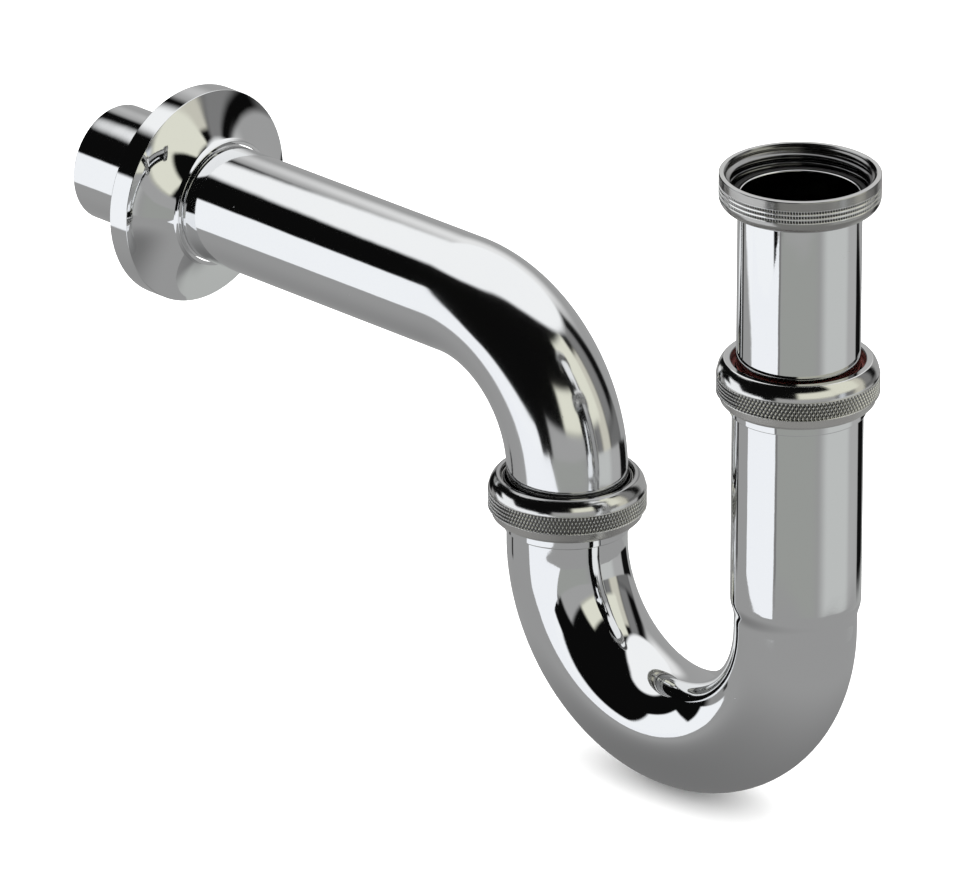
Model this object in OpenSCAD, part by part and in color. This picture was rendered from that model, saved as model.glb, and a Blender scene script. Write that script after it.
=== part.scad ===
// Adjustable tubular trap for a basin: inlet union, sliding inlet tube, U-bend,
// outlet union, outlet bend to the wall and wall rosette. Millimetres, +Z up, +Y to the wall.
// The origin is the centre of the wall-side end of the outlet tube.

/* [Tubes] */
// outside radius of the plain tubes
tube_r = 17.5; // [16:0.1:20]
// wall of the plain tubes
tube_wall = 0.9; // [0.7:0.1:1.5]
// outside radius of the socket that takes the inlet tube
socket_r = 18.6; // [18.2:0.1:21]
// wall of the socket
socket_wall = 0.8; // [0.6:0.1:1.2]
// centre-line radius of the U-bend
trap_bend_r = 45; // [36:0.5:60]
// centre-line radius of the outlet bend
arm_bend_r = 42.5; // [36:0.5:60]
// from the outlet leg's axis to the wall-side tube end
wall_run = 186; // [120:1:300]
// inlet rim above the axis of the outlet arm
inlet_rise = 76; // [60:1:120]

/* [Heights below the inlet rim] */
// lower end of the sliding inlet tube
inlet_tube_end = 104; // [90:1:120]
// underside of the slip nut
slip_nut_base = 69.2; // [60:0.1:80]
// lower end of the socket's full width
socket_end = 130; // [110:1:150]
// length of the neck between the socket and the bend
neck_len = 4; // [2:0.5:8]
// centre of the U-bend
bend_centre = 139; // [120:1:160]
// underside of the outlet nut
outlet_nut_base = 132; // [120:0.1:150]

/* [Inlet union nut] */
// height of the inlet union nut
union_h = 10.2; // [9:0.5:16]
// outside radius of the inlet union nut
union_r = 22.8; // [22:0.1:26]
// thread core radius, drawn as a plain bore
thread_core_r = 19.5; // [19:0.05:20]
// radius of the mouth at the rim, where the lead-in chamfer starts
mouth_r = 21.4; // [20.5:0.1:22]
// depth at which the thread ends and its relief begins
thread_depth = 5.8; // [4:0.1:9]
// relief radius under the thread
relief_r = 20.8; // [20:0.1:21.5]
// thickness of the inner flange that pulls on the tube
union_floor = 1.5; // [1.5:0.1:3]
// rounding of the lower outer edge
union_edge_r = 3.6; // [1:0.1:4]
// rows of notches round the outside
serration_rows = 3; // [1:1:5]
// height of one row of notches
row_h = 0.8; // [0.5:0.05:1]
// distance between two rows
row_pitch = 1.34; // [1.1:0.01:2]
// upper edge of the first row below the rim
row_top = 2.8; // [1:0.1:4]
// mean depth of the notches
row_depth = 0.15; // [0.1:0.05:0.4]

/* [Slip nuts] */
// height of the nut on the socket
slip_nut_h = 13.2; // [11:0.1:18]
// height of the nut on the outlet leg
outlet_nut_h = 13.2; // [11:0.1:18]
// radius over the knurling, socket side
slip_nut_r = 23.1; // [22:0.1:26]
// radius over the knurling, outlet side
outlet_nut_r = 22.9; // [22:0.1:26]
// how far the knurling stands proud of the nut
knurl_proud = 0.2; // [0.1:0.05:0.5]
// height of the knurled band
knurl_h = 5.3; // [3:0.1:8]
// lower edge of the knurled band above the nut's base
knurl_base = 3.4; // [1:0.1:5]
// mean thread radius inside the nut
nut_bore_r = 20.35; // [20:0.05:21]
// opening at the top of the socket nut
slip_opening_r = 19; // [18:0.1:20]
// opening at the top of the outlet nut
outlet_opening_r = 19.2; // [18:0.1:20]
// thickness of the nut's crown at the opening
crown_t = 2.3; // [1.5:0.1:4]
// radius where the shoulder meets the flat crown, socket side
slip_flat_r = 21; // [20:0.1:21.5]
// radius where the shoulder meets the flat crown, outlet side
outlet_flat_r = 20.4; // [20:0.1:21.5]
// how far the foot is set in below the knurling
foot_step = 0.3; // [0.1:0.05:0.6]
// how far the foot narrows down to its chamfer
foot_taper = 0.7; // [0.2:0.1:1]
// chamfer of the foot's lower edge
foot_chamfer = 0.9; // [0.3:0.1:1]
// rounding of the crown's inner lip
lip_r = 0.4; // [0.2:0.1:0.5]

/* [Rings and seals] */
// free gap between parts that move past each other
gap = 0.3; // [0.2:0.05:0.5]
// running gap of a seal on its tube
seal_gap = 0.05; // [0.01:0.01:0.1]
// mean thread radius of the ferrules
ferrule_r = 20.05; // [19.5:0.05:20.3]
// shank radius of the socket ferrule
socket_shank_r = 19.4; // [19:0.1:20]
// shank radius of the outlet ferrule
outlet_shank_r = 18.3; // [18:0.1:20]
// height of the threaded part of the ferrules
ferrule_h = 7; // [5:0.1:10]
// length of the plain shank under the socket nut
socket_shank_h = 2.8; // [1:0.1:4]
// length of the plain shank under the outlet nut
outlet_shank_h = 3.3; // [1:0.1:4]
// outside radius of the rings held in the nuts
ring_r = 19.95; // [19.5:0.05:20.1]
// thickness of the slip rings
ring_t = 1.5; // [1:0.1:3]
// outside radius of the inlet gasket and of the tube flange
flange_r = 19.2; // [18.5:0.1:19.4]
// thickness of the tube flange
flange_t = 1; // [1:0.1:2]
// thickness of the inlet gasket
gasket_t = 1.2; // [1:0.1:3]
// outside radius of the collar at the foot of the outlet bend
collar_r = 19.7; // [19:0.1:20]
// thickness of that collar
collar_t = 1.6; // [1:0.1:3]
// thickness of the gasket below the collar
outlet_gasket_t = 1.4; // [1:0.1:3]

/* [Wall rosette] */
// outside radius of the rosette
rosette_r = 32.1; // [28:0.1:45]
// depth of its cylindrical rim
rosette_rim = 7; // [3:0.5:12]
// overall depth of the rosette
rosette_depth = 15.4; // [10:0.1:25]
// sheet thickness
rosette_t = 0.8; // [0.5:0.1:1.2]
// tube left free between the wall end and the rosette
rosette_back = 30.7; // [10:0.1:60]
// opening of its hub round the tube
hub_open_r = 18.2; // [18.1:0.1:19]
// slope of its front at the rim, degrees
front_low = 17; // [5:1:30]
// slope of its front next to the hub, degrees
front_high = 40; // [32:1:60]
// radius of the bend from the front into the hub
hub_flare = 1.5; // [1:0.5:3]

/* [Hidden] */
$fn = 96;
chrome = [0.80, 0.81, 0.82];
satin = [0.66, 0.65, 0.62];
black = [0.05, 0.05, 0.05];
red = [0.36, 0.08, 0.06];
tube_in = tube_r - tube_wall;
socket_in = socket_r - socket_wall;
outlet_y = -wall_run;
inlet_y = outlet_y - 2 * trap_bend_r;
// levels below the rim, counted downwards
tube_flange_low = union_h - union_floor - gap;
tube_flange_top = tube_flange_low - flange_t;
lip_top = tube_flange_top - gasket_t + 0.1;
slip_crown_low = slip_nut_base - slip_nut_h + crown_t;
slip_ring_top = slip_crown_low + gap;
seal_top = slip_ring_top + ring_t + gap;
seal_step = seal_top + ring_t;
socket_ferrule_top = seal_step + gap;
socket_top = socket_ferrule_top + ring_t;
outlet_crown_low = outlet_nut_base - outlet_nut_h + crown_t;
washer_top = outlet_crown_low + gap;
washer_t = 0.5;
outlet_ring_top = washer_top + washer_t;
collar_top = outlet_ring_top + 1.1 + gap;
collar_low = collar_top + collar_t;
outlet_gasket_low = collar_low + outlet_gasket_t;
outlet_leg_top = outlet_gasket_low + gap;
hub_r = hub_open_r + rosette_t;
front_bend_r = (rosette_r - hub_r - hub_flare * (1 - sin(front_high)))
  / (sin(front_high) - sin(front_low));
front_centre = [rosette_r + front_bend_r * sin(front_low),
  rosette_rim + front_bend_r * cos(front_low)];
hub_centre = [hub_r + hub_flare,
  front_centre[1] - (front_bend_r - hub_flare) * cos(front_high)];

// a flat ring section between two radii and two heights
module section(r_low, r_high, z_low, z_high) {
  translate([r_low, z_low])
    square([r_high - r_low, z_high - z_low]);
}

// the waste a quarter-round takes off an outer top corner at [r, z]
module round_off(r, z, radius) {
  translate([r - radius, z - radius])
    difference() {
      square(radius + 1);
      circle(radius);
    }
}

// puts a revolved section on one of the two vertical axes, heights counted from the rim
module on_leg(y) {
  translate([0, y, inlet_rise])
    rotate_extrude()
      children();
}

// part of a bent tube in the YZ plane, angles from +Y towards +Z
module bent_tube(bend_r, r_out, r_in, start, sweep) {
  rotate([90, 0, 90])
    rotate([0, 0, start])
      rotate_extrude(angle = sweep)
        translate([bend_r, 0])
          difference() {
            circle(r_out);
            circle(r_in);
          }
}

// section of a knurled nut standing on height z
module nut_section(z, h, r, opening_r, flat_r) {
  body_r = r - knurl_proud;
  foot_r = body_r - foot_step;
  knurl_top = z + knurl_base + knurl_h;
  rise = z + h - knurl_top;
  drop = body_r - flat_r;
  shoulder_r = (rise * rise + drop * drop) / (2 * drop);
  difference() {
    union() {
      polygon([[nut_bore_r, z], [foot_r - foot_taper - foot_chamfer, z],
        [foot_r - foot_taper, z + foot_chamfer], [foot_r, z + knurl_base],
        [foot_r, knurl_top], [nut_bore_r, knurl_top]]);
      section(body_r - 1, r, z + knurl_base, knurl_top);
      section(nut_bore_r, body_r, knurl_top, z + h);
      section(opening_r, body_r, z + h - crown_t, z + h);
    }
    round_off(body_r, knurl_top + shoulder_r, shoulder_r);
    translate([2 * opening_r, 0])
      mirror([1, 0])
        round_off(opening_r, z + h, lip_r);
  }
}

module inlet_union_nut() {
  color(satin)
    on_leg(inlet_y)
      difference() {
        section(tube_r + gap, union_r, -union_h, 0);
        polygon([[0, -1.5], [thread_core_r, -1.5], [mouth_r, 0], [mouth_r, 1], [0, 1]]);
        section(0, thread_core_r, -thread_depth, 0);
        section(0, relief_r, -union_h + union_floor, -thread_depth);
        round_off(union_r, 0, 0.3);
        translate([0, -2 * union_h])
          mirror([0, 1])
            round_off(union_r, -union_h, union_edge_r);
        for (i = [0 : serration_rows - 1])
          section(union_r - row_depth, union_r + 1,
            -row_top - i * row_pitch - row_h, -row_top - i * row_pitch);
      }
}

module inlet_gasket() {
  color(black)
    on_leg(inlet_y)
      section(tube_r + 0.25, flange_r, -tube_flange_top, -tube_flange_top + gasket_t);
}

module inlet_tube() {
  color(chrome)
    on_leg(inlet_y) {
      section(tube_in, tube_r, -inlet_tube_end, -lip_top - tube_wall / 2);
      section(tube_r - 0.4, flange_r, -tube_flange_low, -tube_flange_top);
      translate([tube_r - tube_wall / 2, -lip_top - tube_wall / 2])
        circle(tube_wall / 2);
    }
}

module slip_nut() {
  color(satin)
    on_leg(inlet_y)
      nut_section(-slip_nut_base, slip_nut_h, slip_nut_r, slip_opening_r, slip_flat_r);
}

module slip_ring() {
  color(red)
    on_leg(inlet_y)
      section(tube_r + gap, ring_r, -slip_ring_top - ring_t, -slip_ring_top);
}

module slip_seal() {
  color(black)
    on_leg(inlet_y) {
      section(tube_r + seal_gap, ring_r, -seal_step, -seal_top);
      section(tube_r + seal_gap, socket_r - gap, -socket_top + gap, -seal_step);
    }
}

module socket_thread_ring() {
  color(chrome)
    on_leg(inlet_y) {
      section(socket_r, ferrule_r, -socket_ferrule_top - ferrule_h, -socket_ferrule_top);
      section(socket_r, socket_shank_r,
        -socket_ferrule_top - ferrule_h - socket_shank_h, -socket_ferrule_top - ferrule_h);
    }
}

module trap_bend() {
  color(chrome)
    union() {
      on_leg(inlet_y)
        section(socket_in, socket_r, -socket_end, -socket_top);
      on_leg(inlet_y)
        polygon([[socket_in, -socket_end], [socket_r, -socket_end],
          [tube_r, -socket_end - neck_len], [tube_in, -socket_end - neck_len]]);
      on_leg(inlet_y)
        section(tube_in, tube_r, -bend_centre, -socket_end - neck_len);
      translate([0, inlet_y + trap_bend_r, inlet_rise - bend_centre])
        bent_tube(trap_bend_r, tube_r, tube_in, 180, 180);
      on_leg(outlet_y)
        section(tube_in, tube_r, -bend_centre, -outlet_leg_top);
    }
}

module outlet_thread_ring() {
  color(chrome)
    on_leg(outlet_y) {
      section(tube_r, ferrule_r, -outlet_nut_base - 0.2, -outlet_leg_top);
      section(tube_r, outlet_shank_r, -outlet_nut_base - outlet_shank_h, -outlet_nut_base - 0.2);
    }
}

module outlet_gasket() {
  color(black)
    on_leg(outlet_y)
      section(tube_in, collar_r, -outlet_gasket_low, -collar_low);
}

module outlet_slip_ring() {
  color(black)
    on_leg(outlet_y) {
      section(tube_r + 0.5, ring_r, -collar_top + gap, -outlet_ring_top);
      section(tube_r + 0.5, tube_r + 1, -outlet_ring_top, -outlet_crown_low + crown_t - 0.9);
    }
}

module outlet_washer() {
  color(satin)
    on_leg(outlet_y) {
      section(tube_r + 1.1, ring_r, -outlet_ring_top, -washer_top);
      section(tube_r + 1.1, tube_r + 1.4, -washer_top, -outlet_crown_low + crown_t - 1.2);
    }
}

module outlet_nut() {
  color(satin)
    on_leg(outlet_y)
      nut_section(-outlet_nut_base, outlet_nut_h, outlet_nut_r, outlet_opening_r,
        outlet_flat_r);
}

module outlet_bend() {
  color(chrome)
    union() {
      on_leg(outlet_y)
        section(tube_in, tube_r, -collar_low, -inlet_rise - arm_bend_r);
      on_leg(outlet_y)
        section(tube_in + 0.2, collar_r, -collar_low, -collar_top);
      translate([0, outlet_y + arm_bend_r, -arm_bend_r])
        bent_tube(arm_bend_r, tube_r, tube_in, 90, 90);
      translate([0, outlet_y + arm_bend_r, 0])
        rotate([-90, 0, 0])
          difference() {
            cylinder(h = wall_run - arm_bend_r, r = tube_r);
            translate([0, 0, -1])
              cylinder(h = wall_run - arm_bend_r + 2, r = tube_in);
          }
    }
}

// section of bent sheet with its front concave, between two slopes
module bent_sheet(centre, radius, low, high) {
  reach = 2 * (radius + rosette_t);
  intersection() {
    difference() {
      translate(centre)
        circle(radius + rosette_t);
      translate(centre)
        circle(radius);
    }
    polygon([centre, centre - reach * [sin(low), cos(low)],
      centre - reach * [sin(high), cos(high)]]);
  }
}

module wall_rosette() {
  color(chrome)
    translate([0, -rosette_back, 0])
      rotate([90, 0, 0])
        rotate_extrude()
          union() {
            section(rosette_r - rosette_t, rosette_r, 0, rosette_rim);
            bent_sheet(front_centre, front_bend_r, front_low, front_high);
            bent_sheet(hub_centre, hub_flare, front_high, 90);
            section(hub_open_r, hub_r, hub_centre[1], rosette_depth);
          }
}

inlet_union_nut();
inlet_gasket();
inlet_tube();
slip_nut();
slip_ring();
slip_seal();
socket_thread_ring();
trap_bend();
outlet_thread_ring();
outlet_gasket();
outlet_slip_ring();
outlet_washer();
outlet_nut();
outlet_bend();
wall_rosette();
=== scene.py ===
import math

import bpy
import numpy as np
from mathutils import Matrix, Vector


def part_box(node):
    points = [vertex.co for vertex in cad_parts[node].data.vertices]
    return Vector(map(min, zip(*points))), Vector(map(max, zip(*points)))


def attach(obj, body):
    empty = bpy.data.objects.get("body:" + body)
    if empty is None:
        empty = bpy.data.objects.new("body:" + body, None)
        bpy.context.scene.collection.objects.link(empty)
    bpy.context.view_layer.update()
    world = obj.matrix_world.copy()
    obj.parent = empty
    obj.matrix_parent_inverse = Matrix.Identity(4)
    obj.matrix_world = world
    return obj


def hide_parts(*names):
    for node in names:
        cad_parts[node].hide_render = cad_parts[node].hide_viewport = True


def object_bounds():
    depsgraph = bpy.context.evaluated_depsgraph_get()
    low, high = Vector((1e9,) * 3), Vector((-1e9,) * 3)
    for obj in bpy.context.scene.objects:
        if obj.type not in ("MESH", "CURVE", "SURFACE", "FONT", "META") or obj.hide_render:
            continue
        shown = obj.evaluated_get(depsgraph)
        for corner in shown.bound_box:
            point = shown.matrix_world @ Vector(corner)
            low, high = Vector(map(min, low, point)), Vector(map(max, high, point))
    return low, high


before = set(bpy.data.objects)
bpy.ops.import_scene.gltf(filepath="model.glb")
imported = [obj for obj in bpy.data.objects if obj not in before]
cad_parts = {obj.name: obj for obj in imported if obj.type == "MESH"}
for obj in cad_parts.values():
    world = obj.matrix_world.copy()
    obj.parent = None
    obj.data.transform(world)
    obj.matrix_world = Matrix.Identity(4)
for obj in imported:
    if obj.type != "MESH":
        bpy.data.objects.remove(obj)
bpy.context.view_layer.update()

MM = 0.001
TAU = 2 * math.pi

# ---------------------------------------------------------------- routes and sweeps


class Route:
    """A centre line in the YZ plane made of straight runs and bends."""

    def __init__(self, y, z, heading):
        self.parts = []
        self.end = (y, z, heading, 0.0)

    def line(self, length):
        y, z, a, s = self.end
        self.parts.append((s, length, "line", y, z, a, 0.0))
        self.end = (y + length * math.cos(a), z + length * math.sin(a), a, s + length)
        return self

    def bend(self, radius, angle):
        """angle > 0 turns from +Y towards +Z."""
        y, z, a, s = self.end
        length = radius * abs(angle)
        turn = math.copysign(1 / radius, angle)
        self.parts.append((s, length, "bend", y, z, a, turn))
        side = math.copysign(1, angle)
        cy, cz = y - side * radius * math.sin(a), z + side * radius * math.cos(a)
        b = a + angle
        self.end = (cy + side * radius * math.sin(b), cz - side * radius * math.cos(b), b, s + length)
        return self

    def at(self, s):
        part = self.parts[0]
        for p in self.parts:
            if s >= p[0] - 1e-9:
                part = p
        s0, length, kind, y, z, a, turn = part
        d = s - s0
        if kind == "line":
            return y + d * math.cos(a), z + d * math.sin(a), a
        side = math.copysign(1, turn)
        radius = 1 / abs(turn)
        cy, cz = y - side * radius * math.sin(a), z + side * radius * math.cos(a)
        b = a + turn * d
        return cy + side * radius * math.sin(b), cz - side * radius * math.cos(b), b

    @property
    def length(self):
        return self.end[3]


def corner_loop(corners, step=0.9, arc=7):
    """Closed (s, r) loop through corners (s, r, fillet), fillets as arcs, runs cut every step mm."""
    pts = []
    n = len(corners)
    for i, (s, r, f) in enumerate(corners):
        p = np.array([s, r], float)
        a = np.array(corners[i - 1][:2], float) - p
        b = np.array(corners[(i + 1) % n][:2], float) - p
        la, lb = np.linalg.norm(a), np.linalg.norm(b)
        a, b = a / la, b / lb
        cosine = float(np.clip(a @ b, -1, 1))
        if f <= 0 or abs(cosine) > 0.9999:
            pts.append(p)
            continue
        half = math.acos(cosine) / 2
        cut = min(f / math.tan(half), 0.49 * la, 0.49 * lb)
        radius = cut * math.tan(half)
        mid = (a + b) / np.linalg.norm(a + b)
        centre = p + mid * radius / math.sin(half)
        start, stop = p + a * cut - centre, p + b * cut - centre
        t0 = math.atan2(start[1], start[0])
        turn = math.atan2(start[0] * stop[1] - start[1] * stop[0], start @ stop)
        for k in range(arc + 1):
            t = t0 + turn * k / arc
            pts.append(centre + radius * np.array([math.cos(t), math.sin(t)]))
    out = []
    for i, p in enumerate(pts):
        q = pts[(i + 1) % len(pts)]
        gap = np.linalg.norm(q - p)
        if gap < 1e-6:
            continue
        count = max(1, int(math.ceil(gap / step)))
        for k in range(count):
            out.append(p + (q - p) * k / count)
    return np.array(out)


def grid_mesh(name, points):
    """A closed surface from a (u, v, 3) grid that closes both ways, with normals from the grid."""
    nu, nv, _ = points.shape
    du = np.roll(points, -1, 0) - np.roll(points, 1, 0)
    dv = np.roll(points, -1, 1) - np.roll(points, 1, 1)
    normal = np.cross(du, dv)
    normal /= np.maximum(np.linalg.norm(normal, axis=2, keepdims=True), 1e-12)
    volume = float((points * normal * np.linalg.norm(np.cross(du, dv), axis=2, keepdims=True)).sum())
    index = np.arange(nu * nv).reshape(nu, nv)
    a, b = index, np.roll(index, -1, 0)
    c, d = np.roll(b, -1, 1), np.roll(a, -1, 1)
    quads = np.stack([a, b, c, d], 2).reshape(-1, 4)
    if volume < 0:
        quads = quads[:, ::-1]
        normal = -normal
    mesh = bpy.data.meshes.new(name)
    mesh.vertices.add(nu * nv)
    mesh.vertices.foreach_set("co", (points.reshape(-1) * MM).astype(np.float32))
    mesh.loops.add(quads.size)
    mesh.loops.foreach_set("vertex_index", quads.reshape(-1).astype(np.int32))
    mesh.polygons.add(len(quads))
    mesh.polygons.foreach_set("loop_start", np.arange(0, quads.size, 4, dtype=np.int32))
    mesh.update(calc_edges=True)
    mesh.validate()
    mesh.polygons.foreach_set("use_smooth", np.ones(len(quads), bool))
    mesh.normals_split_custom_set_from_vertices(normal.reshape(-1, 3).tolist())
    obj = bpy.data.objects.new(name, mesh)
    bpy.context.scene.collection.objects.link(obj)
    return obj


def sweep(name, route, loop, steps, shape=None):
    """Carries a ring round the closed (s, r) loop along a route. shape(s, r, theta) gives the radius."""
    theta = np.arange(steps) * TAU / steps
    stations = [route.at(s) for s, _ in loop]
    y0 = np.array([p[0] for p in stations])[:, None]
    z0 = np.array([p[1] for p in stations])[:, None]
    a = np.array([p[2] for p in stations])[:, None]
    s, r = loop[:, 0][:, None], loop[:, 1][:, None]
    r = r + 0 * theta[None]
    if shape is not None:
        r = shape(s + 0 * r, r, theta[None] + 0 * r)
    x = r * np.cos(theta)
    n = r * np.sin(theta)
    y = y0 - n * np.sin(a)
    z = z0 + n * np.cos(a)
    return grid_mesh(name, np.stack([x, y, z], 2))


# ---------------------------------------------------------------- places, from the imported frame

def box_mm(node):
    low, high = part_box(node)
    return [v / MM for v in low], [v / MM for v in high]


def middle(node, axis):
    low, high = box_mm(node)
    return (low[axis] + high[axis]) / 2


INLET_Y = middle("inlet_union_nut", 1)
OUTLET_Y = middle("outlet_nut", 1)
UP, DOWN, FROM_WALL = math.pi / 2, -math.pi / 2, math.pi

# sizes in millimetres that the boxes don't give, the same as in the solids
PITCH = 25.4 / 11
TUBE_R, TUBE_IN = 17.5, 16.6
SOCKET_R, SOCKET_IN = 18.6, 17.8
FLANGE_R, FLANGE_T = 19.2, 1.0
COLLAR_R = 19.7
RING_R, RING_T, RING_IN = 19.95, 1.5, 17.8
NUT_BORE, FERRULE_R, THREAD_AMP = 20.35, 20.05, 0.6
GAP = 0.3
LONG = 500


def leg(y, node):
    """A route straight up one of the legs from the underside of a node."""
    return Route(y, box_mm(node)[0][2], UP).line(LONG)


def height(node):
    low, high = box_mm(node)
    return high[2] - low[2]


def smooth(x):
    x = np.clip(x, 0, 1)
    return x * x * x * (x * (6 * x - 15) + 10)


def saw(x):
    """Triangle wave: 0 at whole numbers, 1 half-way."""
    return 1 - np.abs(2 * (x - np.floor(x)) - 1)


def thread(s, theta):
    """Rounded right-hand thread form, 0 at the core and 1 at the crest of the groove."""
    return 0.5 - 0.5 * np.cos(TAU * s / PITCH + theta)


pieces = {}


def add(node, body, obj):
    obj.name = node + "_form"
    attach(obj, body)
    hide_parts(node)
    pieces[node] = obj
    return obj


# ---------------------------------------------------------------- inlet union nut

CORE_R, THREAD_R, RELIEF_R, MOUTH_R = 19.5, 20.95, 20.8, 21.4
UNION_R, UNION_FOOT, UNION_FLOOR, UNION_HOLE = 22.8, 3.6, 1.5, 17.8
THREAD_DEPTH, MOUTH_DEPTH = 6.2, 0.45
ROWS, ROW_PITCH, ROW_H, ROW_TOP, NOTCHES = 3, 1.34, 0.8, 2.8, 176
NOTCH_DEEP, NOTCH_EDGE = 0.5, 0.16
nut_h = height("inlet_union_nut")


def union_shape(s, r, theta):
    """Cuts the thread turns into the bore and the rows of notches into the outside."""
    depth = nut_h - s
    bore = (np.abs(r - THREAD_R) < 0.01) & (depth < THREAD_DEPTH)
    crest = (1 - thread(s, theta)) ** 1.5
    share = smooth((depth - 0.2) / 1.9) * smooth((THREAD_DEPTH - 0.1 - depth) / 0.5)
    out = np.where(bore, r - (THREAD_R - CORE_R) * crest * share, r)
    rel = (depth - ROW_TOP) / ROW_PITCH
    cell = (rel - np.floor(rel)) * ROW_PITCH
    in_row = smooth(cell / NOTCH_EDGE) * smooth((ROW_H - cell) / NOTCH_EDGE)
    in_row = np.where((rel > 0) & (rel < ROWS), in_row, 0)
    notch = NOTCH_DEEP * in_row * np.clip(1.25 - 1.25 * saw(theta * NOTCHES / TAU), 0, 1)
    return np.where(r > UNION_R - 0.2, out - notch, out)


foot_arc = [(UNION_FOOT * (1 - math.cos(a)), UNION_R - UNION_FOOT * (1 - math.sin(a)), 0)
            for a in np.linspace(0, math.pi / 2, 16)]
loop = corner_loop([(0, UNION_HOLE, 0.3)] + foot_arc + [
    (nut_h, UNION_R, 0.3), (nut_h, MOUTH_R, 0.1), (nut_h - MOUTH_DEPTH, THREAD_R, 0),
    (nut_h - THREAD_DEPTH, THREAD_R, 0), (nut_h - THREAD_DEPTH - 0.3, RELIEF_R, 0.1),
    (UNION_FLOOR, RELIEF_R, 0.3), (UNION_FLOOR, UNION_HOLE, 0.3)], step=0.12)
add("inlet_union_nut", "union_nut",
    sweep("union", leg(INLET_Y, "inlet_union_nut"), loop, NOTCHES * 6, union_shape))

# ---------------------------------------------------------------- inlet tube and its gasket

GASKET_IN = 17.75
gasket_h = height("inlet_gasket")
add("inlet_gasket", "inlet",
    sweep("gasket", leg(INLET_Y, "inlet_gasket"), corner_loop([
        (0, GASKET_IN, 0.2), (0, FLANGE_R, 0.2), (gasket_h, FLANGE_R, 0.3),
        (gasket_h, GASKET_IN, 0.3)], step=0.4), 256))

flange_top = box_mm("inlet_gasket")[0][2] - box_mm("inlet_tube")[0][2]
lip_top = height("inlet_tube")
add("inlet_tube", "inlet",
    sweep("inlet", leg(INLET_Y, "inlet_tube"), corner_loop([
        (0, TUBE_IN, 0.2), (0, TUBE_R, 0.3), (flange_top - FLANGE_T, TUBE_R, 0.4),
        (flange_top - FLANGE_T, FLANGE_R, 0.3), (flange_top, FLANGE_R, 0.3),
        (flange_top, TUBE_R, 0.2), (lip_top, TUBE_R, 0.42), (lip_top, TUBE_IN, 0.42)],
        step=3.0), 288))

# ---------------------------------------------------------------- knurled nuts

KNURL, KNURL_PROUD, KNURL_DEEP, KNURL_EDGE = (3.4, 8.7), 0.2, 0.42, 0.3
FOOT_STEP, FOOT_TAPER, FOOT_CHAMFER = 0.3, 0.7, 0.9
CROWN_T = 2.3
THREAD_RUNOUT = 0.8


def knurl_shape(body_r, knurl_r, count, rise, thread_top):
    """Diamond knurling of count starts round the band, and the thread turns in the bore."""
    def shape(s, r, theta):
        band = (r > knurl_r - 0.02) & (s > KNURL[0]) & (s < KNURL[1])
        turn = theta * count / TAU
        diamond = np.minimum(saw(turn + s / rise), saw(turn - s / rise))
        edge = smooth((s - KNURL[0]) / KNURL_EDGE) * smooth((KNURL[1] - s) / KNURL_EDGE)
        low = body_r - KNURL_DEEP
        knurled = low + (knurl_r - low) * np.clip(diamond * 1.12, 0, 1)
        out = np.where(band, knurled * edge + body_r * (1 - edge), r)
        bore = (np.abs(r - NUT_BORE) < 0.01) & (s < thread_top)
        fade = smooth(s / THREAD_RUNOUT) * smooth((thread_top - s) / THREAD_RUNOUT)
        wave = THREAD_AMP * np.cos(TAU * s / PITCH + theta)
        return np.where(bore, r + wave * fade, out)
    return shape


def knurled_nut(node, body, y, opening_r, flat_r, knurl_r, count, rise):
    """A nut with a chamfered foot, a knurled band, and a bowed shoulder up to its flat crown."""
    h = height(node)
    body_r = knurl_r - KNURL_PROUD
    foot_r = body_r - FOOT_STEP
    rise_h, drop = h - KNURL[1], body_r - flat_r
    bow = (rise_h ** 2 + drop ** 2) / (2 * drop)
    ends = np.linspace(0, 0.88 * math.asin(rise_h / bow), 14)
    shoulder = [(KNURL[1] + bow * math.sin(a), body_r - bow + bow * math.cos(a), 0)
                for a in ends]
    loop = corner_loop([
        (0, NUT_BORE, 0.3), (0, foot_r - FOOT_TAPER - FOOT_CHAMFER, 0.3),
        (FOOT_CHAMFER, foot_r - FOOT_TAPER, 0.5), (KNURL[0], foot_r, 0),
        (KNURL[0], knurl_r, 0), (KNURL[1], knurl_r, 0)] + shoulder + [
        (h, flat_r, 0.6), (h, opening_r, 0.5), (h - CROWN_T, opening_r, 0.3),
        (h - CROWN_T, NUT_BORE, 0.3)], step=0.13, arc=12)
    shape = knurl_shape(body_r, knurl_r, count, rise, h - CROWN_T - 0.5)
    add(node, body, sweep(node, leg(y, node), loop, count * 8, shape))


SLIP_R = box_mm("slip_nut")[1][0]
OUTLET_R = box_mm("outlet_nut")[1][0]
knurled_nut("slip_nut", "slip_nut", INLET_Y, 19.0, 21.0, SLIP_R, 120, 2.07)
knurled_nut("outlet_nut", "outlet_nut", OUTLET_Y, 19.2, 20.4, OUTLET_R, 132, 2.3)


def plain_ring(node, body, y, r_in, r_out, fillet):
    h = height(node)
    return add(node, body, sweep(node, leg(y, node), corner_loop([
        (0, r_in, fillet), (0, r_out, fillet), (h, r_out, fillet), (h, r_in, fillet)],
        step=0.5, arc=5), 256))


plain_ring("slip_ring", "slip_ring", INLET_Y, RING_IN, RING_R, 0.2)
plain_ring("outlet_gasket", "arm", OUTLET_Y, TUBE_IN, COLLAR_R, 0.25)

SEAL_IN, NOSE_R = 17.55, 18.3
h = height("slip_seal")
add("slip_seal", "seal",
    sweep("seal", leg(INLET_Y, "slip_seal"), corner_loop([
        (0, SEAL_IN, 0.2), (0, NOSE_R, 0.3), (h - RING_T, NOSE_R, 0.2),
        (h - RING_T, RING_R, 0.3), (h, RING_R, 0.3), (h, SEAL_IN, 0.3)], step=0.5), 256))


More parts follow.
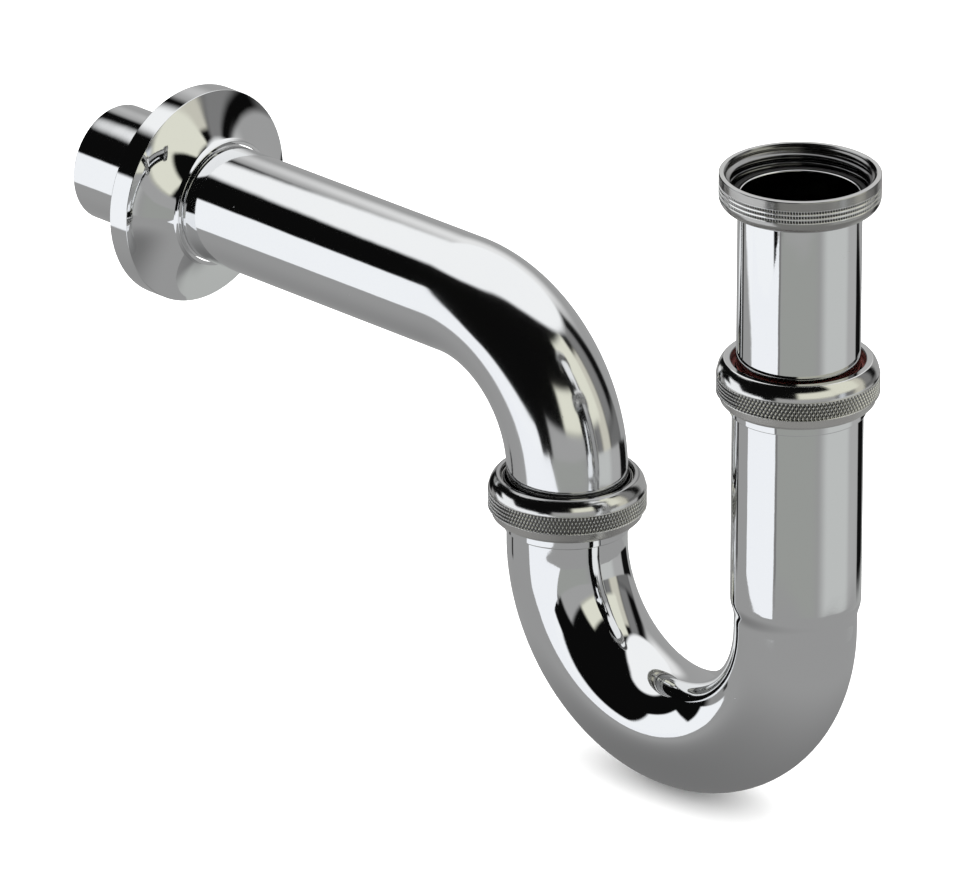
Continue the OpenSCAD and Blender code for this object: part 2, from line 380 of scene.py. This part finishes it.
def ferrule(node, y, bore_r, shank_r, shank_top, nut):
    """A threaded ring on a leg, its turns in step with those of its nut."""
    h = height(node)
    phase_s = box_mm(node)[0][2] - box_mm(nut)[0][2]

    def shape(s, r, theta):
        outer = np.abs(r - FERRULE_R) < 0.01
        fade = smooth((s - shank_top - 0.2) / THREAD_RUNOUT) * smooth((h - s) / THREAD_RUNOUT)
        wave = THREAD_AMP * np.cos(TAU * (s + phase_s) / PITCH + theta)
        return np.where(outer, r + wave * fade, r)

    add(node, "trap", sweep(node, leg(y, node), corner_loop([
        (0, bore_r, 0.05), (0, shank_r, 0.35), (shank_top, shank_r, 0.1),
        (shank_top, FERRULE_R, 0.2), (h, FERRULE_R, 0.3), (h, bore_r, 0.05)],
        step=0.16, arc=6), 360, shape))


ferrule("socket_thread_ring", INLET_Y, SOCKET_R, 19.4, 2.8, "slip_nut")
ferrule("outlet_thread_ring", OUTLET_Y, TUBE_R, 18.3, 3.1, "outlet_nut")

# ---------------------------------------------------------------- rings in the outlet nut

BLACK_IN, BLACK_OUT, WASHER_IN, WASHER_OUT, WASHER_T = 18.0, 18.5, 18.6, 18.9, 0.5
h = height("outlet_slip_ring")
flat = box_mm("outlet_washer")[0][2] - box_mm("outlet_slip_ring")[0][2]
add("outlet_slip_ring", "outlet_ring",
    sweep("ring", leg(OUTLET_Y, "outlet_slip_ring"), corner_loop([
        (0, BLACK_IN, 0.2), (0, RING_R, 0.2), (flat, RING_R, 0.1), (flat, BLACK_OUT, 0.1),
        (h, BLACK_OUT, 0.2), (h, BLACK_IN, 0.2)], step=0.4), 256))
h = height("outlet_washer")
add("outlet_washer", "outlet_ring",
    sweep("washer", leg(OUTLET_Y, "outlet_washer"), corner_loop([
        (0, WASHER_IN, 0.1), (0, RING_R, 0.1), (WASHER_T, RING_R, 0.1),
        (WASHER_T, WASHER_OUT, 0.15), (h, WASHER_OUT, 0.14), (h, WASHER_IN, 0.14)],
        step=0.4), 256))

# ---------------------------------------------------------------- U-bend

low, high = box_mm("trap_bend")
BEND_R = (OUTLET_Y - INLET_Y) / 2
SOCKET_TOP = high[2]
BEND_Z = low[2] + BEND_R + TUBE_R
NECK_RISE, NECK_START, NECK = 9, 1.3, 6.6
SOCKET_END = SOCKET_TOP - (BEND_Z + NECK_RISE)
leg_z = box_mm("outlet_thread_ring")[1][2]
trap_route = (Route(INLET_Y, SOCKET_TOP, DOWN).line(SOCKET_TOP - BEND_Z)
              .bend(BEND_R, math.pi).line(leg_z - BEND_Z))


def trap_shape(s, r, theta):
    """Widens the tube to the socket above an eased neck."""
    neck = smooth((s - SOCKET_END + NECK_START) / NECK)
    outer = r > (TUBE_R + TUBE_IN) / 2
    wide = np.where(outer, SOCKET_R - TUBE_R, SOCKET_IN - TUBE_IN)
    return r + wide * (1 - neck)


total = trap_route.length
add("trap_bend", "trap",
    sweep("trap", trap_route, corner_loop([
        (0, TUBE_IN, 0.2), (total, TUBE_IN, 0.2), (total, TUBE_R, 0.3), (0, TUBE_R, 0.3)],
        step=0.9), 192, trap_shape))

# ---------------------------------------------------------------- outlet bend

ARM_BEND_R = 42.5
foot = box_mm("outlet_bend")[0][2]
collar_h = box_mm("outlet_slip_ring")[0][2] - GAP - foot
arm_route = (Route(OUTLET_Y, foot, UP).line(-foot - ARM_BEND_R)
             .bend(ARM_BEND_R, -math.pi / 2).line(-OUTLET_Y - ARM_BEND_R))
total = arm_route.length
add("outlet_bend", "arm",
    sweep("arm", arm_route, corner_loop([
        (0, TUBE_IN, 0.3), (total, TUBE_IN, 0.25), (total, TUBE_R, 0.35),
        (collar_h, TUBE_R, 0.4), (collar_h, COLLAR_R, 0.6), (0, COLLAR_R, 0.6)],
        step=0.9), 192))

# ---------------------------------------------------------------- rosette

low, high = box_mm("wall_rosette")
depth = high[1] - low[1]
ROSETTE_R, RIM, SHEET, HUB_OPEN, FLARE = high[0], 7.0, 0.8, 18.2, 1.5
HUB_R, LIP_R, LIP_T = HUB_OPEN + SHEET, 17.85, 0.42
FRONT = (math.radians(17), math.radians(40))
front_r = (ROSETTE_R - HUB_R - FLARE * (1 - math.sin(FRONT[1]))) / (
    math.sin(FRONT[1]) - math.sin(FRONT[0]))
front_at = (RIM + front_r * math.cos(FRONT[0]), ROSETTE_R + front_r * math.sin(FRONT[0]))
hub_at = (front_at[0] - (front_r - FLARE) * math.cos(FRONT[1]), HUB_R + FLARE)


def sheet_arc(centre, radius, start, stop, count):
    """Corners (s, r, 0) along an arc of bent sheet, by the slope of its front."""
    slopes = np.linspace(start, stop, count)
    return [(centre[0] - radius * math.cos(a), centre[1] - radius * math.sin(a), 0)
            for a in slopes]


front = sheet_arc(front_at, front_r, *FRONT, 30)[1:] + sheet_arc(
    hub_at, FLARE, FRONT[1], math.pi / 2, 10)[1:]
behind = sheet_arc(hub_at, FLARE + SHEET, math.pi / 2, FRONT[1], 10) + sheet_arc(
    front_at, front_r + SHEET, FRONT[1], FRONT[0], 30)[1:-1]
rosette_route = Route(high[1], 0, FROM_WALL).line(LONG)
add("wall_rosette", "rosette",
    sweep("rosette", rosette_route, corner_loop(
        [(0, ROSETTE_R - SHEET, 0.2), (0, ROSETTE_R, 0.25), (RIM, ROSETTE_R, 0.25)] + front
        + [(depth, HUB_R, 0.3), (depth, LIP_R, 0.3), (depth - LIP_T, LIP_R, 0.2),
           (depth - LIP_T, HUB_OPEN, 0)] + behind
        + [(RIM - 0.6, ROSETTE_R - SHEET, 0)], step=0.5, arc=10), 384))

# ---------------------------------------------------------------- materials

class Nodes:
    """Short names for building a node tree."""

    def __init__(self, tree):
        self.tree = tree
        tree.nodes.clear()

    def new(self, kind, **sockets):
        node = self.tree.nodes.new(kind)
        for key, value in sockets.items():
            if key.startswith("set_"):
                setattr(node, key[4:], value)
        for key, value in sockets.items():
            if not key.startswith("set_"):
                self.put(node.inputs[key.replace("_", " ")], value)
        return node

    def put(self, socket, value):
        if isinstance(value, bpy.types.NodeSocket):
            self.tree.links.new(value, socket)
        elif hasattr(value, "__len__") and len(value) == 3 and socket.type == "RGBA":
            socket.default_value = (*value, 1)
        else:
            socket.default_value = value

    def maths(self, operation, *values):
        node = self.tree.nodes.new("ShaderNodeMath")
        node.operation = operation
        for socket, value in zip(node.inputs, values):
            self.put(socket, value)
        return node.outputs[0]

    def ramp(self, value, low, high, out_low=0.0, out_high=1.0):
        node = self.tree.nodes.new("ShaderNodeMapRange")
        node.interpolation_type = "SMOOTHSTEP"
        for socket, v in zip(node.inputs, (value, low, high, out_low, out_high)):
            self.put(socket, v)
        return node.outputs[0]

    def mix(self, share, a, b):
        node = self.tree.nodes.new("ShaderNodeMix")
        node.data_type = "RGBA"
        self.put(node.inputs[0], share)
        self.put(node.inputs[6], a)
        self.put(node.inputs[7], b)
        return node.outputs[2]

    def noise(self, vector, scale, detail=2.0, rough=0.5):
        return self.new("ShaderNodeTexNoise", Vector=vector, Scale=scale, Detail=detail,
                        Roughness=rough).outputs["Fac"]

    def stretch(self, vector, scale):
        return self.new("ShaderNodeMapping", Vector=vector, Scale=scale).outputs[0]

    def place(self):
        return self.new("ShaderNodeTexCoord").outputs["Object"]

    def bump(self, height, strength, distance, normal=None):
        node = self.new("ShaderNodeBump", Height=height, Strength=strength, Distance=distance)
        if normal is not None:
            self.put(node.inputs["Normal"], normal)
        return node.outputs[0]

    def surface(self, **sockets):
        shader = self.new("ShaderNodeBsdfPrincipled", **sockets)
        out = self.new("ShaderNodeOutputMaterial")
        self.tree.links.new(shader.outputs[0], out.inputs[0])


def material(name):
    m = bpy.data.materials.new(name)
    m.use_nodes = True
    return m, Nodes(m.node_tree)


def chrome_look(name, soft=0.0, softer=0.0):
    """Bright plating: faint unevenness, a light bloom in places and a few specks of dust."""
    m, n = material(name)
    where = n.place()
    bloom = n.noise(where, 28, 4, 0.6)
    fine = n.noise(where, 900, 3, 0.6)
    rough = n.ramp(bloom, 0.35, 0.8, 0.018, 0.05)
    if softer:
        y = n.new("ShaderNodeSeparateXYZ", Vector=where).outputs[1]
        bend = n.ramp(y, -0.150, -0.125, softer, soft)
        rough = n.maths("ADD", rough, bend)
    rough = n.maths("MULTIPLY_ADD", fine, 0.012, rough)
    dots = n.new("ShaderNodeTexVoronoi", Vector=where, Scale=330, Randomness=1)
    speck = n.ramp(dots.outputs["Distance"], 0.05, 0.11, 1, 0)
    rare = n.ramp(n.noise(where, 130, 1), 0.66, 0.7)
    speck = n.maths("MULTIPLY", speck, rare)
    rough = n.maths("MULTIPLY_ADD", speck, 0.35, rough)
    tint = n.mix(n.noise(where, 17, 3), (0.85, 0.858, 0.865), (0.88, 0.885, 0.885))
    wave = n.bump(n.noise(where, 55, 2), 0.1, 0.0006)
    wave = n.bump(n.noise(where, 1400, 2), 0.05, 0.00003, wave)
    n.surface(Base_Color=tint, Metallic=1, Roughness=rough, Normal=wave)
    return m


def nut_look(name, y, deep, full, inside, band, polish_from, polish_to, dim=1.0, dull=0.22):
    """Satin nickel: turning lines round the nut, brighter polished tops, a painted sheen on the band of
    rows, painted shade in the grooves and bore.

    The band of heights is painted lighter as a painted sheen, and painted shade darkens its
    grooves from radius full down to deep, and the bore below radius inside. Heights are
    shares of the nut's own, and the metal is polished above polish_from.
    """
    m, n = material(name)
    where = n.place()
    xyz = n.new("ShaderNodeSeparateXYZ", Vector=where)
    dy = n.maths("SUBTRACT", xyz.outputs[1], y * MM)
    radius = n.maths("SQRT", n.maths("ADD", n.maths("MULTIPLY", xyz.outputs[0], xyz.outputs[0]),
                                     n.maths("MULTIPLY", dy, dy)))
    up = n.new("ShaderNodeTexCoord").outputs["Generated"]
    up = n.new("ShaderNodeSeparateXYZ", Vector=up).outputs[2]
    lines = n.noise(n.stretch(where, (40, 40, 9000)), 1, 3, 0.7)
    cloud = n.noise(where, 160, 4, 0.6)
    rows = n.maths("MULTIPLY", n.ramp(up, band[0] - 0.01, band[0] + 0.01),
                   n.ramp(up, band[1] - 0.01, band[1] + 0.01, 1, 0))
    groove_shade = n.maths("MULTIPLY", rows, n.ramp(radius, deep * MM, full * MM, 1, 0))
    bore = n.ramp(radius, (inside - 0.15) * MM, inside * MM, 1, 0)
    polish = n.ramp(up, polish_from, polish_to)
    colour = n.mix(cloud, (0.66, 0.65, 0.625), (0.74, 0.735, 0.715))
    colour = n.mix(polish, colour, (0.82, 0.82, 0.81))
    colour = n.mix(1.0 - dim, colour, (0.0, 0.0, 0.0))
    # painted sheen: the band of rows is painted lighter than the rest of the nut
    colour = n.mix(rows, colour, (0.93, 0.93, 0.91))
    # painted shade in the grooves of the band
    colour = n.mix(n.maths("MULTIPLY", groove_shade, 0.88), colour, (0.05, 0.05, 0.05))
    # painted shade in the bore
    colour = n.mix(n.maths("MULTIPLY", bore, 0.6), colour, (0.22, 0.22, 0.225))
    rough = n.ramp(polish, 0, 1, dull, 0.07)
    rough = n.maths("MULTIPLY_ADD", rows, -0.08, rough)
    rough = n.maths("MULTIPLY_ADD", lines, 0.08, rough)
    turn = n.bump(lines, 0.14, 0.00006)
    turn = n.bump(cloud, 0.15, 0.00008, turn)
    n.surface(Base_Color=colour, Metallic=1, Roughness=rough, Normal=turn)
    return m


def dull_look(name, dark, light, low, high, grain):
    m, n = material(name)
    where = n.place()
    cloud = n.noise(where, grain, 5, 0.65)
    fine = n.noise(where, grain * 9, 3, 0.7)
    colour = n.mix(n.maths("MULTIPLY", cloud, fine), dark, light)
    rough = n.ramp(cloud, 0.3, 0.7, low, high)
    n.surface(Base_Color=colour, Roughness=rough, Normal=n.bump(fine, 0.3, 0.00008))
    return m


chrome = chrome_look("chrome")
arm_chrome = chrome_look("arm_chrome", 0.022, 0.06)
union_metal = nut_look("union_metal", INLET_Y, 22.55, 22.76, 21.3, (0.36, 0.74), 0.96, 0.98,
                       0.66, 0.12)


def knurled_look(name, node, y, knurl_r):
    h = height(node)
    band = (KNURL[0] / h, KNURL[1] / h)
    return nut_look(name, y, knurl_r - 0.6, knurl_r - 0.12, 20.9, band, band[1], band[1] + 0.04)


slip_metal = knurled_look("slip_metal", "slip_nut", INLET_Y, SLIP_R)
outlet_metal = knurled_look("outlet_metal", "outlet_nut", OUTLET_Y, OUTLET_R)
# the washer has no band, no bore and no polished crown
washer_metal = nut_look("washer_metal", OUTLET_Y, 1, 2, 1, (2, 3), 2, 3)
rubber = dull_look("rubber", (0.008, 0.008, 0.008), (0.03, 0.03, 0.03), 0.45, 0.7, 300)
plastic = dull_look("plastic", (0.006, 0.006, 0.006), (0.02, 0.02, 0.02), 0.16, 0.3, 200)
fibre = dull_look("fibre", (0.10, 0.012, 0.008), (0.30, 0.04, 0.025), 0.5, 0.75, 500)

LOOK = {"outlet_bend": (arm_chrome, "chrome_tube"),
        "inlet_union_nut": (union_metal, "nut_metal"), "slip_nut": (slip_metal, "nut_metal"),
        "outlet_nut": (outlet_metal, "nut_metal"), "outlet_washer": (washer_metal, "nut_metal"),
        "inlet_gasket": (rubber, "black_rubber"), "slip_seal": (rubber, "black_rubber"),
        "outlet_gasket": (rubber, "black_rubber"), "slip_ring": (fibre, "red_fibre"),
        "outlet_slip_ring": (plastic, "black_plastic")}
for node, obj in pieces.items():
    look, slot = LOOK.get(node, (chrome, "chrome_tube"))
    obj.data.materials.append(look)

# ---------------------------------------------------------------- camera

AZ, EL, AWAY, LENS = math.radians(-45.4), math.radians(23.5), 3.5, 460.75
back = Vector((math.sin(AZ) * math.cos(EL), -math.cos(AZ) * math.cos(EL), math.sin(EL)))
right = Vector((math.cos(AZ), math.sin(AZ), 0))
above = back.cross(right)
aim = Vector((0, -0.216, -0.034)) - right * 0.0464 + above * 0.0102
cam_data = bpy.data.cameras.new("camera")
cam_data.sensor_width = 36
cam_data.lens = LENS
cam_data.clip_end = 50
cam = bpy.data.objects.new("camera", cam_data)
cam.location = aim + back * AWAY
cam.rotation_euler = back.to_track_quat("Z", "Y").to_euler()
bpy.context.scene.collection.objects.link(cam)
bpy.context.scene.camera = cam

# ---------------------------------------------------------------- floor

def stage_mesh(name, points, faces):
    mesh = bpy.data.meshes.new(name)
    mesh.from_pydata(points, [], faces)
    obj = bpy.data.objects.new(name, mesh)
    bpy.context.scene.collection.objects.link(obj)
    return obj


low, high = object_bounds()
FLOOR_Z, FLOOR = low[2] - 0.0005, 6.0
floor = stage_mesh("floor", [(-FLOOR, -FLOOR, FLOOR_Z), (FLOOR, -FLOOR, FLOOR_Z),
                             (FLOOR, FLOOR, FLOOR_Z), (-FLOOR, FLOOR, FLOOR_Z)], [(0, 1, 2, 3)])
paper, n = material("paper")
where = n.place()
n.surface(Base_Color=n.mix(n.noise(where, 6, 5), (0.93, 0.93, 0.93), (0.96, 0.96, 0.955)),
          Roughness=0.9, Normal=n.bump(n.noise(where, 800, 3), 0.1, 0.0001))
floor.data.materials.append(paper)
floor.visible_glossy = False


def mirrored_only(obj):
    """Leaves an object visible in mirror images and nowhere else."""
    for ray in ("camera", "diffuse", "transmission", "volume_scatter", "shadow"):
        setattr(obj, "visible_" + ray, False)


# ---------------------------------------------------------------- what the chrome mirrors

def tone(red, green=None, blue=None):
    """Light that a chrome surface shows at this screen level."""
    levels = (red, red if green is None else green, red if blue is None else blue)
    return tuple((((v / 255 + 0.055) / 1.055) ** 2.4) / 0.865 for v in levels)


DOME_AT, DOME_R = (0.04, -0.02, 0.0), 0.62
RINGS, SIDES = 24, 48
points, faces = [], []
for i in range(RINGS + 1):
    for j in range(SIDES):
        a, b = math.pi * (i / RINGS - 0.5), TAU * j / SIDES
        points.append((DOME_R * math.cos(a) * math.cos(b), DOME_R * math.cos(a) * math.sin(b),
                       DOME_R * math.sin(a)))
for i in range(RINGS):
    for j in range(SIDES):
        k = (j + 1) % SIDES
        faces.append((i * SIDES + j, (i + 1) * SIDES + j, (i + 1) * SIDES + k, i * SIDES + k))
dome = stage_mesh("studio", points, faces)
dome.location = DOME_AT
mirrored_only(dome)

light, n = material("studio_light")
way = n.new("ShaderNodeVectorMath", set_operation="NORMALIZE", Vector=n.place()).outputs[0]
xyz = n.new("ShaderNodeSeparateXYZ", Vector=way)
turn = n.maths("DEGREES", n.maths("ARCTAN2", xyz.outputs[0],
                                  n.maths("MULTIPLY", xyz.outputs[1], -1.0)))
rise = n.maths("DEGREES", n.maths("ARCSINE", xyz.outputs[2]))


def above_edge(value, edge, soft):
    return n.ramp(value, edge - soft, edge + soft)


def card(colour, sides, heights, tint, soft=2.0, lean=0.0):
    """A flat card in the studio, by the directions of its edges in degrees."""
    u = turn if lean == 0 else n.maths("MULTIPLY_ADD", rise, lean, turn)
    share = n.maths("MULTIPLY", above_edge(u, sides[0], soft),
                    n.maths("SUBTRACT", 1.0, above_edge(u, sides[1], soft)))
    share = n.maths("MULTIPLY", share, above_edge(rise, heights[0], soft))
    share = n.maths("MULTIPLY", share,
                    n.maths("SUBTRACT", 1.0, above_edge(rise, heights[1], soft)))
    return n.mix(share, colour, tint)


def skyline(points):
    """How far a direction is above a line drawn through (turn, rise) points, in degrees."""
    curve = n.new("ShaderNodeFloatCurve", Value=n.maths("MULTIPLY_ADD", turn, 1 / 360, 0.5))
    line = curve.mapping.curves[0]
    for i, (a, e) in enumerate(points):
        at = ((a + 180) / 360, (e + 90) / 180)
        if i == 0:
            line.points[0].location = at
        elif i == len(points) - 1:
            line.points[-1].location = at
        else:
            line.points.new(*at)
    curve.mapping.update()
    edge = n.maths("MULTIPLY_ADD", curve.outputs[0], 180.0, -90.0)
    return n.maths("SUBTRACT", rise, edge)


# a dark room: grey walls behind and to the right, with a light upper corner
room = card(tone(10), (-185, -140), (-60, -12), tone(138), 4)
room = card(room, (66, 152), (-40, 60), tone(152), 4)
room = card(room, (70, 140), (24, 75), tone(225), 12)
# the white wall to the left, low in front and higher behind
WHITE, CREAM = tone(238, 240, 243), tone(216, 216, 202)
room = card(room, (-164, -76), (-26, -7), WHITE, 1.5, 0.5)
room = card(room, (-140, -110), (-26, 15), WHITE, 1.5, 0.5)
# the front: a grey sill under a cream blind, posts, and darker panels to the right
room = card(room, (-54, 0), (-30, 2), tone(155), 2)
room = card(room, (-32, -1), (2, 20), CREAM, 2.5)
room = card(room, (9, 18), (-30, 42), tone(116), 3)
room = card(room, (2, 8), (-30, 4), tone(196, 200, 206), 2)
room = card(room, (18, 34), (-30, 31), tone(192, 190, 178), 3)
room = card(room, (34, 50), (-4, 42), tone(120), 4)
room = card(room, (-3, 24), (4, 42), CREAM, 2.5)
room = card(room, (35, 66), (-30, -4), tone(105), 4)
# the edges of the ceiling, of the ground and of the plain table near the trap
CEILING = [(-180, 47), (-150, 46), (-120, 49), (-90, 58), (-60, 65), (-30, 63), (0, 54),
           (15, 47), (30, 41), (50, 37), (70, 35), (90, 37), (120, 42), (150, 48), (180, 47)]
room = n.mix(n.ramp(skyline(CEILING), -3, 3), room, tone(238, 239, 240))
GROUND = [(-180, -24), (-150, -25), (-120, -26), (-90, -25), (-72, -23), (-65, -19),
          (-61.5, -11), (-57, -11), (-38, -9.2), (-24, -8.0), (-9, -6.2), (4, -6.2), (23, -8),
          (44, -11.5), (60, -15), (90, -23), (120, -27), (150, -25), (180, -24)]
NEAR = [(-180, -37), (-165, -36.5), (-118, -32.5), (-84, -27.5), (-58, -22.5), (-38, -19.5),
        (-24, -18.6), (-14, -18.4), (-4, -18.4), (4, -18.6), (21, -20.5), (43, -23.5),
        (59, -26.5), (79, -29.5), (100, -31), (130, -34), (160, -37), (180, -37)]
# the ground: the table's grey, darker straight down as a painted shadow of the trap, with the walls'
# faint images on it further out
shadowed_ground = n.mix(n.ramp(rise, -90, -32), tone(108), tone(147))
shadowed_ground = card(shadowed_ground, (35, 130), (-75, -33), tone(172, 174, 172), 14)
ground = card(shadowed_ground, (-56, -12), (-26, 0), tone(148, 150, 147), 5)
ground = card(ground, (-5, 34), (-26, 0), tone(184, 186, 185), 6)
ground = card(ground, (30, 56), (-26, 0), tone(163), 6)
ground = card(ground, (56, 84), (-33, 0), tone(14), 2)
ground = card(ground, (-59, -56.4), (-25, 0), tone(117), 0.6)
ground = card(ground, (-169, -161), (-40, -20), tone(45), 1)
ground = n.mix(n.ramp(skyline(NEAR), -0.5, 0.5), shadowed_ground, ground)
room = n.mix(n.ramp(skyline(GROUND), -0.8, 0.8), ground, room)
glow = n.new("ShaderNodeEmission", Color=room, Strength=1.0)
out = n.new("ShaderNodeOutputMaterial")
n.tree.links.new(glow.outputs[0], out.inputs[0])
dome.data.materials.append(light)

# the table top under the trap: a white sheet to the left and grey elsewhere, with a painted shadow
# darker close to the trap
TABLE_Z = low[2] - 0.0003
EDGE = [(-0.162, -0.287), (-0.160, -0.210), (-0.130, -0.120)]
SHEET_FAR = [(-0.300, 0.097), (-0.475, -0.324)]
TABLE_FAR = [(-0.06, -0.09), (0.06, -0.09), (0.12, -0.13), (0.15, -0.20), (0.155, -0.28),
             (0.12, -0.36), (0.05, -0.41), (-0.05, -0.41), (-0.12, -0.37), (-0.155, -0.32)]


def laid(name, outline):
    """A sheet lying under the trap that only its mirror images show."""
    obj = stage_mesh(name, [(x, y, TABLE_Z) for x, y in outline], [tuple(range(len(outline)))])
    mirrored_only(obj)
    look, n = material(name + "_light")
    obj.data.materials.append(look)
    return n


n = laid("white_sheet", EDGE + SHEET_FAR)
glow = n.new("ShaderNodeEmission", Color=tone(236, 238, 242), Strength=1.0)
n.tree.links.new(glow.outputs[0], n.new("ShaderNodeOutputMaterial").inputs[0])
n = laid("table", EDGE + TABLE_FAR)
# painted shadow: the grey table darkens towards the middle of the trap
away = n.new("ShaderNodeVectorMath", set_operation="DISTANCE", Vector=n.place())
away.inputs[1].default_value = (0, (INLET_Y + OUTLET_Y) / 2 * MM, TABLE_Z)
painted_shadow_grey = n.mix(n.ramp(away.outputs["Value"], 0.02, 0.12), tone(112), tone(147))
glow = n.new("ShaderNodeEmission", Color=painted_shadow_grey, Strength=1.0)
n.tree.links.new(glow.outputs[0], n.new("ShaderNodeOutputMaterial").inputs[0])

# ---------------------------------------------------------------- soft light on the stage

world = bpy.data.worlds.new("studio")
bpy.context.scene.world = world
world.use_nodes = True
world.node_tree.nodes["Background"].inputs["Color"].default_value = (1, 1, 1, 1)
world.node_tree.nodes["Background"].inputs["Strength"].default_value = 2.0
lamp = bpy.data.lights.new("overhead", "AREA")
lamp.shape = "RECTANGLE"
lamp.size, lamp.size_y = 1.6, 1.2
lamp.energy = 5
lamp_at = bpy.data.objects.new("overhead", lamp)
lamp_at.location = (0.25, -0.1, 1.3)
lamp_at.rotation_euler = (Vector(lamp_at.location) - Vector((0, -0.15, 0))).to_track_quat(
    "Z", "Y").to_euler()
lamp_at.visible_glossy = False
lamp_at.visible_camera = False
bpy.context.scene.collection.objects.link(lamp_at)
bpy.context.scene.view_settings.view_transform = "Standard"
